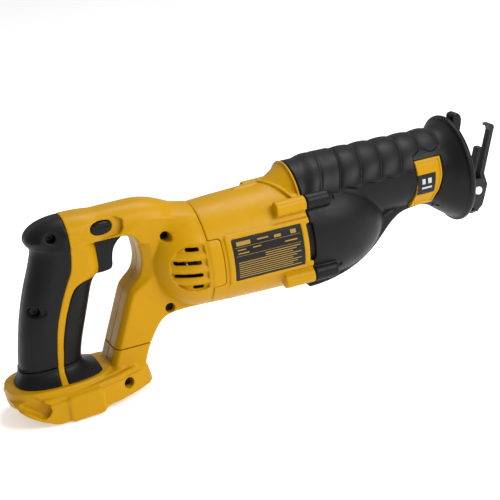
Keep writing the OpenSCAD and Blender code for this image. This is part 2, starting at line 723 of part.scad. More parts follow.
// side outline of the shoe strip, from the lower tail to the hooked top
shoe_front = [[241.4, -23.2], [244.8, -22.4], [247.6, -20.2], [249.8, -16], [252.5, -9.5], [257, 3],
    [270.775, 42.9], [272, 46], [271, 48.2], [268.8, 49.4], [265, 49.8], [264.8, 47.8], [267.2, 46.4],
    [267.4, 43.8], [253.6, 5], [250, -8.2], [246.6, -16.4], [244.2, -19.4], [241.4, -20.4]];
flange_y = 16.1;
short_strip_z = 27;

module shoe() color(dark_steel) tool() difference() {
    union() {
        // near strip with the hook, and the far strip, which stops short
        side(shoe_front, -shoe_w / 2, -blade_slot_w / 2);
        intersection() {
            side(shoe_front, blade_slot_w / 2, shoe_w / 2);
            box(200, far, 0, far, -far, short_strip_z);
        }
        // plate under the blade, as wide as the flanges
        intersection() {
            side(shoe_front, -far, far);
            let (w = flange_y + shoe_t) bar([[-w, 1], [-w, -16], [6 - w, -24], [w - 6, -24], [w, -16], [w, 1],
                [shoe_w / 2, 8], [-shoe_w / 2, 8]], 200, far);
        }
        for (s = [-1, 1]) side([[243, 4], [246.5, 7.5], [252.5, 6.4], [253, -5], [250, -13], [244.5, -21],
            [242, -17], [241.6, -7]], min(s * flange_y, s * (flange_y + shoe_t)),
            max(s * flange_y, s * (flange_y + shoe_t)));
    }
    // blade slot, open at the top
    box(235, 285, -blade_slot_w / 2, blade_slot_w / 2, -4, far);
    rod_y(pivot_r, -far, far, shoe_pivot_x, shoe_pivot_z);
}

module shoe_pivot_pin() color(steel) tool() {
    rod_y(pivot_r, -19, 19, shoe_pivot_x, shoe_pivot_z);
    for (s = [-1, 1])
        rod_y(pivot_r + 1.2, min(s * 18.6, s * 20.4), max(s * 18.6, s * 20.4), shoe_pivot_x, shoe_pivot_z);
}

handle_shell(-1);  // handle_shell_right
handle_shell(1);  // handle_shell_left
base_shell(-1);  // base_shell_right
base_shell(1);  // base_shell_left
motor_housing();
gear_case();
motor_plate();
front_boot();
rear_grip();
front_grip();
grip_foot();
badge_plate();
badge();
rating_label();
handle_screws();
base_screw();
gear_case_screws();
trigger();
trigger_switch();
lock_button();
terminal_block();
battery_contacts();
motor_can();
motor_magnets();
brush_plate();
brush_holders();
carbon_brushes();
armature_shaft();
armature_core();
armature_windings();
commutator();
motor_fan();
motor_pinion();
rear_motor_bearing();
front_motor_bearing();
crank_gear();
crank_shaft();
crank_pin();
crank_bearing();
plunger();
yoke();
plunger_bushing();
plunger_seal();
blade_clamp();
clamp_sleeve();
release_lever();
shoe_bracket();
shoe();
shoe_pivot_pin();
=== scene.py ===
import math

import bpy
import numpy as np
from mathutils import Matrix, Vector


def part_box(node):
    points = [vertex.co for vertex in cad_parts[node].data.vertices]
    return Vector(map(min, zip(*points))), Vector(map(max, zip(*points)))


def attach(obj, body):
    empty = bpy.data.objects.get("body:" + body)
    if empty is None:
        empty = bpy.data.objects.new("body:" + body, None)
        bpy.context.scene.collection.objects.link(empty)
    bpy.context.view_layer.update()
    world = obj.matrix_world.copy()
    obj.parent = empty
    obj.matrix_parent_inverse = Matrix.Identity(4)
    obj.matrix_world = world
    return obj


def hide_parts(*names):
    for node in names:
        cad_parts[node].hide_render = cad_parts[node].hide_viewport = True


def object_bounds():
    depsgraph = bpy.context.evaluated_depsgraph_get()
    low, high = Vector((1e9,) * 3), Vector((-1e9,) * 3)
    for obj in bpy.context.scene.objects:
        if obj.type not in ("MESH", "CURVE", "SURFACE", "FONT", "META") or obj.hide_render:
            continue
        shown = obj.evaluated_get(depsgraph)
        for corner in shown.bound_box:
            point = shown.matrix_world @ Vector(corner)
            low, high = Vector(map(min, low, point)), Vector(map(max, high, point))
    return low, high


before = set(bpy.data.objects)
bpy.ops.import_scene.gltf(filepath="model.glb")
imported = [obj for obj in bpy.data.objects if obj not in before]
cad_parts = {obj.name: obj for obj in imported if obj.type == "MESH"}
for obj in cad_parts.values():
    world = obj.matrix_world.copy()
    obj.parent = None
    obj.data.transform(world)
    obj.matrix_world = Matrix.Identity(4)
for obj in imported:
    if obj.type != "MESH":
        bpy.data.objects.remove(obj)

import openvdb
from mathutils import Matrix, Vector

# The looks of a cordless reciprocating saw. Moulded shells are solid fields: a field gives the distance
# to a surface at each point of a block of space, fields are met, joined and cut with rounded edges, and the
# surface is drawn as a mesh. Lengths in the fields are millimetres in the tool's own frame, whose origin is
# the motor axis at the ring seam, with x towards the blade, y to the tool's left and z up.

CAD_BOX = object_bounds()
MM = 0.001
HOUSING = "housing"

shaft_low, shaft_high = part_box("armature_shaft")
ORIGIN = Vector((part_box("motor_housing")[0].x, 0.0, (shaft_low.z + shaft_high.z) / 2))

# sizes and places that several parts share
TAIL_R = 41.5                           # motor tail and housing at the ring seam
FRONT_R = 44.5                          # motor housing at the boot
HOUSING_LEN = 84.0
DOME_X = -5.0                           # centre of the tail dome
GRIP_Z = 24.0                           # axis of the hand grip part of the boot
PLUNGER_Z = 18.0                        # axis of the plunger
RIM_X, RIM_Z, RIM_R = 232.0, 17.5, 44.5
SIDE = 20.0                             # half width of the handle
BASE_TOP, BASE_BOTTOM = -76.0, -98.0
SEAM_Z = -57.0                          # seam between strut and base
FOOT_LINE, FOOT_FLOOR = -58.0, -69.8    # top and bottom of the flared foot of the grip
FOOT_X, NECK_X = -126.0, -131.9         # its middle at the bottom and at the top
BUTTON_X, BUTTON_Z = -76.0, 44.0        # lock-off button
# screws in the right-hand side: x, z, and y of the seat
TAIL_SCREWS = ((-28, 26, -12), (-33, -33, -12))
PAD_SCREWS = ((-116, 45, -9), (-138, -10, -9))
BASE_SCREWS = ((-78, -82, -18),)
LINING_R = 5.2                          # rubber lining of the screw holes in the rear pad
BOSS_Y, BOSS_ZS = 36.5, (30.5, -29.4)   # screw bosses where the housing meets the boot


# ---------- fields ----------

class Space:
    """A block of sample points, step apart."""

    def __init__(self, low, high, step):
        count = [int(math.ceil((h - l) / step)) + 1 for l, h in zip(low, high)]
        x, y, z = (np.float32(l) + np.float32(step) * np.arange(n, dtype=np.float32)
                   for l, n in zip(low, count))
        self.x, self.y, self.z = x[:, None, None], y[None, :, None], z[None, None, :]
        self.ay = np.abs(self.y)        # for shapes that are the same on both sides
        self.low, self.step, self.shape = low, step, tuple(count)


def meet(a, b, r=0.0):
    """What is inside both, with the edge rounded to radius r."""
    if np.ndim(r) == 0 and r <= 0:
        return np.maximum(a, b)
    u, v = np.maximum(a + r, 0), np.maximum(b + r, 0)
    return np.minimum(np.maximum(a, b), -r) + np.sqrt(u * u + v * v)


def join(a, b, r=0.0):
    """What is inside either, with a fillet of radius r."""
    return -meet(-a, -b, r)


def cut(a, b, r=0.0):
    """a without b, with the edge rounded to radius r."""
    return meet(a, -b, r)


def step_up(v):
    """A smooth step from 0 at v = 0 to 1 at v = 1."""
    t = np.clip(v, 0, 1)
    return t * t * (3 - 2 * t)


def between(v, low, high):
    """A layer of v."""
    return np.maximum(low - v, v - high)


def slab(v, low, high, w, low2, high2, r):
    """A rounded rectangle in v and w."""
    a = np.abs(v - (low + high) / 2) - (high - low) / 2 + r
    b = np.abs(w - (low2 + high2) / 2) - (high2 - low2) / 2 + r
    return np.sqrt(np.maximum(a, 0) ** 2 + np.maximum(b, 0) ** 2) + np.minimum(np.maximum(a, b), 0) - r


def rod(u, v, w, low, high, r, edge=0.0):
    """A cylinder of radius r in u and v, along w."""
    return meet(np.sqrt(u * u + v * v) - r, between(w, low, high), edge)


def from_axis(s, z=0.0):
    """Distance from a line along x at height z."""
    return np.sqrt(s.y ** 2 + (s.z - z) ** 2)


def ball(s, x, y, z, r):
    return np.sqrt((s.x - x) ** 2 + (s.y - y) ** 2 + (s.z - z) ** 2) - r


def oval(u, v, half_u, half_v, square=2.5):
    """A rounded oval in u and v; the greater square is, the squarer it is."""
    share = ((np.abs(u) / half_u) ** square + (np.abs(v) / half_v) ** square) ** (1 / square)
    return (share - 1) * half_v


def curve(at, points):
    """A smooth curve through points (place, value), read at the places given."""
    p, q = np.array([a for a, _ in points], float), np.array([b for _, b in points], float)
    slope = np.gradient(q, p)
    at = np.asarray(at, float)
    i = np.clip(np.searchsorted(p, at) - 1, 0, len(p) - 2)
    h = p[i + 1] - p[i]
    t = np.clip((at - p[i]) / h, 0, 1)
    value = ((2 * t ** 3 - 3 * t ** 2 + 1) * q[i] + (t ** 3 - 2 * t ** 2 + t) * h * slope[i]
             + (3 * t ** 2 - 2 * t ** 3) * q[i + 1] + (t ** 3 - t ** 2) * h * slope[i + 1])
    return value.astype(np.float32)


def soften(points, times=2):
    """Rounds the corners of a closed outline."""
    p = np.array(points, float)
    for _ in range(times):
        following = np.roll(p, -1, axis=0)
        p = np.stack([0.75 * p + 0.25 * following, 0.25 * p + 0.75 * following], axis=1).reshape(-1, 2)
    return p


def outline(u, v, points):
    """Distance to a closed outline, below zero inside it."""
    best, inside = None, None
    points = np.array(points, np.float32)
    for a, b in zip(points, np.roll(points, -1, axis=0)):
        e = b - a
        length = float(e @ e)
        if length < 1e-9:
            continue
        pu, pv = u - a[0], v - a[1]
        t = np.clip((pu * e[0] + pv * e[1]) / length, 0, 1)
        d = (pu - t * e[0]) ** 2 + (pv - t * e[1]) ** 2
        best = d if best is None else np.minimum(best, d)
        side = pu * e[1] - pv * e[0]
        crossing = ((a[1] <= v) & (v < b[1]) & (side < 0)) | ((b[1] <= v) & (v < a[1]) & (side > 0))
        inside = crossing if inside is None else inside ^ crossing
    return np.where(inside, -1, 1) * np.sqrt(best)


# ---------- meshes ----------

def draw(space, field, name, material, stands_for, smooth=2, body=HOUSING):
    """The surface of a field as a mesh that rides on a body and stands for CAD nodes."""
    band = 3 * space.step
    values = np.clip(np.broadcast_to(field, space.shape), -band, band).astype(np.float32)
    # the block's faces are kept outside, so that the surface is closed
    for axis in range(3):
        edge = np.moveaxis(values, axis, 0)
        edge[0], edge[-1] = np.maximum(edge[0], space.step), np.maximum(edge[-1], space.step)
    grid = openvdb.FloatGrid(band)
    grid.copyFromArray(values)
    points, quads = grid.convertToQuads()
    points = (np.array(space.low) + points * space.step) * MM + np.array(ORIGIN)
    quads = quads.astype(np.int32)
    # the volume's sign tells whether the faces look outwards
    a, b, c, d = (points[quads[:, i]] for i in range(4))
    if np.einsum("ij,ij->", a, np.cross(b, c)) + np.einsum("ij,ij->", a, np.cross(c, d)) < 0:
        quads = quads[:, ::-1]
    mesh = bpy.data.meshes.new(name)
    mesh.vertices.add(len(points))
    mesh.vertices.foreach_set("co", points.astype(np.float32).ravel())
    mesh.loops.add(quads.size)
    mesh.loops.foreach_set("vertex_index", quads.ravel())
    mesh.polygons.add(len(quads))
    mesh.polygons.foreach_set("loop_start", np.arange(0, quads.size, 4, dtype=np.int32))
    mesh.update(calc_edges=True)
    mesh.shade_smooth()
    mesh.materials.append(material)
    piece = bpy.data.objects.new(name, mesh)
    bpy.context.scene.collection.objects.link(piece)
    relax = piece.modifiers.new("relax", "SMOOTH")
    relax.factor, relax.iterations = 0.5, smooth
    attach(piece, body)
    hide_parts(*stands_for)


def halves(space, field, names, material, nodes):
    """The two halves of a moulded shell, which meet on the middle plane with a fine seam."""
    half_gap, edge = 0.06, 0.25
    for sign, name, node in zip((1, -1), names, nodes):
        draw(space, meet(field, sign * space.y + half_gap, edge), name, material, [node])


# ---------- materials ----------

def material(name, colour, rough, grain=0.0, grain_scale=2500.0, metal=0.0, shade=0.06, edge_highlight=None,
             shine=0.5):
    """A moulded, cast or ground surface: grain (mm) in the bump, broad shade changes, and sharp edges
    lightened as a painted highlight.
    """
    m = bpy.data.materials.new(name)
    m.use_nodes = True
    n, link = m.node_tree.nodes, m.node_tree.links.new
    surface = n["Principled BSDF"]
    surface.inputs["Metallic"].default_value = metal
    surface.inputs["Specular IOR Level"].default_value = shine
    place = n.new("ShaderNodeTexCoord").outputs["Object"]

    def noise(scale, detail=3.0):
        t = n.new("ShaderNodeTexNoise")
        t.inputs["Scale"].default_value = scale
        t.inputs["Detail"].default_value = detail
        link(place, t.inputs["Vector"])
        return t.outputs["Fac"]

    def spread(value, low, high, to_low, to_high):
        t = n.new("ShaderNodeMapRange")
        for key, v in zip(("From Min", "From Max", "To Min", "To Max"), (low, high, to_low, to_high)):
            t.inputs[key].default_value = v
        link(value, t.inputs["Value"])
        return t.outputs["Result"]

    def blend(factor, a, b):
        t = n.new("ShaderNodeMix")
        t.data_type = "RGBA"
        link(factor, t.inputs["Factor"])
        for key, v in (("A", a), ("B", b)):
            socket = [i for i in t.inputs if i.name == key and i.type == "RGBA"][0]
            if isinstance(v, bpy.types.NodeSocket):
                link(v, socket)
            else:
                socket.default_value = (*v, 1)
        return [o for o in t.outputs if o.type == "RGBA"][0]

    darker = tuple(c * (1 - shade) for c in colour)
    lighter = tuple(min(1, c * (1 + shade)) for c in colour)
    colours = blend(spread(noise(28.0), 0.3, 0.7, 0, 1), darker, lighter)
    # sharp edges, found by pointiness, are blended towards a lighter colour: a painted highlight
    if edge_highlight is not None:
        edge = n.new("ShaderNodeNewGeometry").outputs["Pointiness"]
        edge_highlight_mask = n.new("ShaderNodeMath")
        edge_highlight_mask.operation = "MULTIPLY"
        link(spread(edge, 0.53, 0.62, 0, 0.55), edge_highlight_mask.inputs[0])
        link(spread(noise(160.0), 0.35, 0.75, 0.2, 1), edge_highlight_mask.inputs[1])
        colours = blend(edge_highlight_mask.outputs[0], colours, edge_highlight)
    link(colours, surface.inputs["Base Color"])
    link(spread(noise(90.0, 4.0), 0.25, 0.75, rough - 0.05, rough + 0.06), surface.inputs["Roughness"])
    if grain:
        bump = n.new("ShaderNodeBump")
        bump.inputs["Strength"].default_value = 0.35
        bump.inputs["Distance"].default_value = grain * MM
        link(noise(grain_scale, 2.0), bump.inputs["Height"])
        link(bump.outputs["Normal"], surface.inputs["Normal"])
    return m


# the lighter colour given for the edges of these materials is a painted highlight along sharp edges
YELLOW = material("yellow_nylon", (0.465, 0.238, 0.0002), 0.37, 0.05, 2600.0, shade=0.035,
                  edge_highlight=(0.56, 0.30, 0.005), shine=0.13)
RUBBER = material("charcoal_rubber", (0.0050, 0.0046, 0.0050), 0.46, 0.09, 1900.0, shade=0.10,
                  edge_highlight=(0.014, 0.014, 0.0145), shine=0.18)
BLACK = material("black_plastic", (0.005, 0.0045, 0.0045), 0.34, 0.05, 2400.0, shade=0.10,
                 edge_highlight=(0.014, 0.014, 0.014), shine=0.18)
OXIDE = material("black_oxide_steel", (0.014, 0.012, 0.011), 0.36, 0.04, 1500.0, metal=0.3,
                 shade=0.15, edge_highlight=(0.12, 0.115, 0.11), shine=0.35)
ZINC = material("zinc_plated_steel", (0.66, 0.68, 0.71), 0.24, 0.03, 1800.0, metal=1.0, shade=0.05)
# screws coloured near black: painted shade standing in for the shade in their deep holes
SCREW_PAINTED_SHADE = material("screw_painted_shade", (0.012, 0.012, 0.012), 0.35, 0.03, 1800.0, metal=0.9,
                     shade=0.1)
GROUND = material("ground_steel", (0.56, 0.57, 0.59), 0.2, 0.02, 3000.0, metal=1.0, shade=0.04)
CAST = material("cast_magnesium", (0.48, 0.49, 0.50), 0.42, 0.12, 1200.0, metal=1.0, shade=0.08)
BRASS = material("brass", (0.72, 0.53, 0.22), 0.28, 0.03, 2000.0, metal=1.0, shade=0.06)
COPPER = material("copper_wire", (0.72, 0.32, 0.16), 0.3, 0.2, 900.0, metal=1.0, shade=0.1)
LAMINATE = material("core_laminate", (0.16, 0.16, 0.17), 0.45, 0.08, 2200.0, metal=0.7, shade=0.1)
CARBON = material("carbon", (0.03, 0.03, 0.032), 0.6, 0.06, 2500.0, shade=0.12)


# ---------- handle ----------

# outlines seen from the side, (x, z); most are rounded by soften()
GRIP_OUTLINE = [(-156.6, -74), (-156.4, -58), (-153.4, -42), (-149.8, -25), (-145.6, -10), (-140.8, 4),
                (-135.8, 16), (-132, 26), (-129.8, 33), (-130.6, 37.4), (-133.2, 41.6), (-132.2, 45.6),
                (-128.8, 49.4), (-123, 52.8), (-114, 55.2), (-104, 56), (-86, 55.6), (-76, 50), (-82, 34),
                (-81.6, 10.5), (-82.6, 6.4), (-86.2, 4.0), (-89.2, -1.4), (-91.6, -8), (-94.4, -16.5),
                (-100.3, -33.1), (-104.5, -46), (-107.3, -58), (-107.8, -74)]
# (z, half width)
GRIP_HALF_WIDTH = [(-75, 17.6), (-58, 17.8), (-40, 18.6), (-15, 19.2), (8, 19.4), (24, 19.0), (33, 18.6),
                   (38, 18.5), (44, 19.9), (50, 20.4), (60, 20.2)]
STRUT_REAR = [(-58, 33.4), (-53, 31), (-50.2, 27), (-48.6, 20), (-48, 10), (-49.6, 2), (-52.6, -4),
              (-58.6, -9), (-63, -13), (-66, -19), (-71.4, -32), (-77.2, -45.5), (-82.4, -58), (-86.5, -68)]
FRAME_OUTLINE = [(-112, 55.6), (-100, 56), (-86, 55.6), (-70, 55.9), (-55, 56.0), (-42, 55.8), (-32, 53.8),
                 (-22, 49.8), (-12, 44.6), (-3, 41), (-1, 36), (-1, -34), (-8, -37.5), (-21, -37.2),
                 (-31, -37.6), (-39, -40), (-45, -46), (-50.4, -54), (-56, -64), (-61.5, -80),
                 (-91, -80)] + STRUT_REAR[::-1] + [(-66, 34.2), (-80, 34.2), (-112, 34.2)]
# opening of the D-handle, run on below the base so that the chamfer of the strut goes straight down
OPENING = [(-120, 34.2), (-66, 34.2)] + STRUT_REAR + [(-91, -80), (-99, -100), (-160, -100)]
# the parts of the grip under rubber; the plastic between them shows as a stripe
REAR_ZONE = [(-104, 72), (-103, 50), (-102.6, 38), (-103.4, 26), (-105.6, 15.6), (-109.6, 8.8), (-114, 0),
             (-118, -9), (-124, -25.5), (-127.4, -44), (-129, -58), (-131, -74), (-190, -74), (-190, 72)]
FRONT_ZONE = [(-78, 5.6), (-92, 5.8), (-98.5, 5.4), (-104.6, 2.6), (-108.6, -3), (-111.4, -9),
              (-116.8, -22), (-121.4, -39), (-123.2, -52), (-124.6, -60), (-125.4, -74), (-95, -74),
              (-93, -60), (-88, -45), (-79, -20), (-73, -6), (-72, 5.6)]
LOCK_POCKET = [(-97, 38.6), (-92, 45.6), (-84, 49.4), (-58.6, 50.8), (-59.6, 36.6), (-72, 35.2), (-90, 35.2)]
SCREW_SCOOP = (-115, -31, 45.5, 14.5)   # hollow round the upper screw of the rear pad: centre and radius


def grip_shape(s):
    """The hand grip with its flared foot, before it is split into plastic and rubber."""
    side = outline(s.x, s.z, soften(GRIP_OUTLINE))
    half = curve(s.z, GRIP_HALF_WIDTH)
    squarer = step_up((s.z - 2) / 14) * step_up((36 - s.z) / 10) * step_up((s.x + 116) / 16)
    grip = meet(side, s.ay - half, 17.0 - 7 * squarer)
    # the foot opens out in a hollow curve
    t = np.clip((FOOT_LINE - s.z) / (FOOT_LINE - FOOT_FLOOR - 1.0), 0, 1.08)
    flare = t ** 2.0
    foot = oval(s.x - NECK_X - (FOOT_X - NECK_X) * flare, s.y, 24.9 + 10.6 * flare, 17.8 + 9.7 * flare)
    foot = meet(foot * 0.86, between(s.z, FOOT_FLOOR, FOOT_LINE + 6), 1.2)
    return np.where(s.z < FOOT_LINE + 1, np.minimum(grip, foot), grip)


def rubber_zones(s):
    return np.minimum(outline(s.x, s.z, soften(REAR_ZONE, 1)), outline(s.x, s.z, soften(FRONT_ZONE, 1)))


def frame_shape(s):
    """Beam over the trigger, web and strut."""
    side = outline(s.x, s.z, soften(FRAME_OUTLINE, 1))
    rounding = 3.0 + 13.5 * step_up((s.z - 34) / 10)
    body = meet(side, s.ay - SIDE, rounding)
    # the sides slope in towards the opening, more steeply along the strut than along the web
    opening = outline(s.x, s.z, OPENING)
    slope = 1.7 - 1.05 * step_up((s.z + 16) / 14)
    chamfer = (s.ay - 14.5 - slope * opening - 30 * step_up((s.z - 22) / 10)) / np.sqrt(1 + slope ** 2)
    return meet(body, chamfer, 1.2)


def tail_shape(s, r):
    """Round motor tail that ends in a dome."""
    rear = np.minimum(s.x - DOME_X, 0)
    return np.sqrt(rear ** 2 + s.y ** 2 + s.z ** 2) - r


def tab_outline(s, grow=0.0):
    """The tab of the rear shell that reaches forward past the ring seam, on both sides."""
    tab = slab(s.x, -20, 10 + grow, s.z, -19 - grow, 19 + grow, 3.0)
    return np.maximum(tab, 25 - s.ay)


VENT_TOP, VENT_PITCH = 15.4, 10.3
VENT_REACHES = (9, 19, 20, 7)           # how far back each slot runs, from the top one down


def vents(s):
    """The half-moon recess with its louvres, and the slots through the shell."""
    moon_r, side = 19.4, 20 - s.ay
    moon = meet(slab(s.x, -31, -3.5, s.z, -19, 19, 2.0),
                np.sqrt(((s.x + 11) * 0.94) ** 2 + s.z ** 2) - moon_r, 1.2)
    leaning = s.z + 0.10 * (s.x + 18)
    slots = np.inf
    for i, reach in enumerate(VENT_REACHES):
        z = VENT_TOP - i * VENT_PITCH
        slots = np.minimum(slots, slab(s.x, -8.5 - reach, -7.5, leaning, z - 1.5, z + 1.5, 0.7))
    louvre = 1.2 * np.cos((leaning - VENT_TOP) * (2 * math.pi / VENT_PITCH))
    floor = tail_shape(s, TAIL_R - 1.7 - louvre)
    return np.maximum(np.maximum(moon, side), -floor), np.maximum(slots, side)


def screw_holes(s, places, r):
    """Holes from the right-hand side to the screws' seats."""
    holes = np.inf
    for x, z, seat in places:
        holes = np.minimum(holes, rod(s.x - x, s.z - z, s.y, -80, seat, r))
    return holes


def handle_shape(s, grip):
    """Frame, grip and tail as one shell, with the recesses for all that sits in it."""
    body = join(frame_shape(s), grip, 5.0)
    tail = tail_shape(s, TAIL_R + 1.0 * step_up((s.x + 2) / 3))
    body = join(body, tail, 1.0 + 5 * step_up((s.z - 22) / 14))
    # end at the ring seam, apart from the tabs
    body = meet(body, np.minimum(s.x + 0.15, tab_outline(s)), 0.6)
    # pocket round the lock-off button, deepest at its front end
    depth = 1.3 + 4.6 * np.clip((s.x + 88) / 26, 0, 1)
    pocket = outline(s.x, s.z, soften(LOCK_POCKET, 1))
    body = cut(body, meet(pocket, SIDE - depth - s.ay, 0.8), 0.7)
    # rubber pads sit in the plastic
    body = cut(body, np.maximum(rubber_zones(s), -(grip + 2.2)), 0.4)
    recess, slots = vents(s)
    body = cut(cut(body, recess, 0.5), slots)
    # the tail is hollow, apart from the bosses of its screws
    wall, boss_r = 4.2, 6.0
    inside = np.maximum(tail_shape(s, TAIL_R - wall), s.x + 1)
    for x, z, _ in TAIL_SCREWS:
        inside = np.maximum(inside, boss_r - np.sqrt((s.x - x) ** 2 + (s.z - z) ** 2))
    body = cut(body, inside)
    # places of the trigger, the lock-off button and the screws
    body = cut(body, np.maximum(slab(s.x, -130, -60, s.z, 4.9, 33.9, 1.0), s.ay - 8.7), 0.6)
    body = cut(body, oval(s.x - BUTTON_X, s.z - BUTTON_Z, 8.9, 5.4, 2.4), 0.5)
    body = cut(body, ball(s, *SCREW_SCOOP), 2.0)
    body = cut(body, screw_holes(s, TAIL_SCREWS, 4.0), 0.5)
    body = cut(body, screw_holes(s, PAD_SCREWS, LINING_R))
    # narrow seam round the strut, and the flat end under the foot
    body = cut(body, np.maximum(np.abs(s.z - SEAM_Z) - 0.35, np.abs(s.x + 70) - 22), 0.2)
    return cut(body, np.maximum(s.z - SEAM_Z, -100 - s.x), 0.3)


def grip_rubber(s, grip, zone, low, high, cap=0.0):
    """A layer of rubber over part of the grip, from height low to high; cap is extra thickness."""
    skin = meet(grip - 0.35 - cap, outline(s.x, s.z, soften(zone, 1)) + 0.12, 0.9)
    skin = np.maximum(skin, -(grip + 2.3))
    return meet(skin, between(s.z, low, high), 0.5)


def make_handle():
    s = Space((-168, -46, -76), (14, 46, 63), 0.7)
    halves(s, handle_shape(s, grip_shape(s)), ("handle_right", "handle_left"), YELLOW,
           ("handle_shell_right", "handle_shell_left"))
    s = Space((-168, -32, -76), (14, 32, 63), 0.7)
    grip = cut(grip_shape(s), ball(s, *SCREW_SCOOP), 2.5)
    # the head of the rear pad stands out above a crease
    cap = 0.9 * step_up((s.z - 36.6 + 0.242 * (s.x + 130)) / 1.5)
    rear = grip_rubber(s, grip, REAR_ZONE, FOOT_LINE + 0.15, 70, cap)
    # the screw holes are lined with rubber
    for x, z, seat in PAD_SCREWS:
        lining = np.maximum(rod(s.x - x, s.z - z, s.y, -40, seat - 0.1, LINING_R - 0.1), grip - 0.3)
        rear = join(rear, lining, 0.4)
    rear = cut(rear, screw_holes(s, PAD_SCREWS, 3.7), 0.6)
    # shallow oblong recess round the lower of them
    oblong = np.sqrt((np.abs(s.x + 136.6) - 3.0).clip(0) ** 2 + (s.z + 10) ** 2) - 3.7
    rear = cut(rear, np.maximum(np.maximum(oblong, s.y), -(grip + 1.1)), 0.5)
    draw(s, rear, "rear_pad", RUBBER, ["rear_grip"])
    front = grip_rubber(s, grip, FRONT_ZONE, FOOT_LINE + 0.15, 40)
    dimple = ball(s, -104, -19, -25.4, 3.4)
    draw(s, cut(front, dimple, 0.6), "front_pad", RUBBER, ["front_grip"])
    foot = meet(grip - 0.35, rubber_zones(s) + 0.12, 0.9)
    foot = meet(foot, between(s.z, FOOT_FLOOR + 0.1, FOOT_LINE - 0.25), 0.5)
    draw(s, foot, "foot", RUBBER, ["grip_foot"])


# ---------- trigger, button and lever ----------

TRIGGER_OUTLINE = [(-54, 34.2), (-57.4, 30.6), (-63.5, 26), (-67, 20.5), (-68.4, 14), (-68.8, 9.4),
                   (-70.2, 6.4), (-73.5, 5.0), (-86, 5.2), (-98, 7), (-98, 33), (-86, 34.2)]
LEVER_TAB = [(235.4, 28), (239.2, 28), (240.6, 42), (243.2, 51), (244.6, 56), (244.4, 61), (241.4, 63.8),
             (237.6, 63.6), (235.2, 61)]


def make_trigger():
    s = Space((-104, -11, 2), (-50, 11, 38), 0.45)
    side = outline(s.x, s.z, soften(TRIGGER_OUTLINE, 1))
    # hollow for the finger
    dish = 1.2 * np.exp(-((s.y / 5.5) ** 2)) * step_up((s.x + 80) / 8)
    lever = meet(side + dish, s.ay - 8.1, 3.2)
    # pocket at the back for the plunger of the switch
    lever = cut(lever, np.maximum(slab(s.x, -120, -90, s.z, 10, 30, 0.5), s.ay - 5.5), 0.3)
    draw(s, lever, "trigger_lever", BLACK, ["trigger"], body="trigger_body")


def make_lock_button():
    s = Space((-88, -23, 36), (-64, 23, 52), 0.4)
    u = s.x - BUTTON_X
    crown = SIDE - 1.4 - 0.012 * u ** 2
    button = meet(oval(u, s.z - BUTTON_Z, 8.5, 4.7, 2.8), s.ay - crown, 1.4)
    # curved groove on both faces
    groove = np.maximum(np.abs(s.z - BUTTON_Z - 0.4 - 0.02 * u ** 2) - 0.55, np.abs(u) - 5.6)
    groove = np.maximum(groove, crown - 0.8 - s.ay)
    draw(s, cut(button, groove, 0.4), "lock_off_button", BLACK, ["lock_button"], body="lock_body")


def make_lever():
    """Ring round the nose tube, with a thumb tab that stands up over the rim."""
    s = Space((229, -21, -3), (248, 21, 66), 0.45)
    ring_r, tube_r, front_r = 19.0, 15.2, 13.2      # outside, bore round the nose tube, bore in front of it
    rho = from_axis(s, PLUNGER_Z)
    ring = meet(rho - ring_r, between(s.x, 231, 239), 0.8)
    tab = outline(s.x, s.z, soften(LEVER_TAB, 1))
    body = join(ring, meet(tab, s.ay - 6, 1.6), 1.0)
    hole = np.minimum(rod(s.y, s.z - PLUNGER_Z, s.x, 220, 235.2, tube_r), rho - front_r)
    draw(s, cut(body, hole, 0.3), "lever", BLACK, ["release_lever"], body="lever")


# ---------- base ----------

# right half of the base seen from above, (x, distance from the middle), from rear to front
BASE_SIDE = [(-172.4, 12), (-171.4, 20), (-167.6, 27), (-162, 32), (-155, 35), (-147.5, 36), (-95, 36),
             (-60, 20.5), (-53.6, 10), (-52.6, 0)]
# what the rising rear of the underside takes away, (x, z)
BASE_REAR_CURVE = [(-136, -104), (-136, -99.4), (-141, -97.2), (-147, -94), (-154, -90.4), (-161, -86),
                   (-167, -81), (-171, -76), (-188, -70), (-188, -104)]
BASE_RISE = 0.052      # slope of the base towards the front


def plan(s):
    """The base's outline seen from above."""
    right = [(x, -y) for x, y in BASE_SIDE]
    left = [(x, y) for x, y in reversed(BASE_SIDE[:-1])]
    return outline(s.x, s.y, soften(right + left, 1))


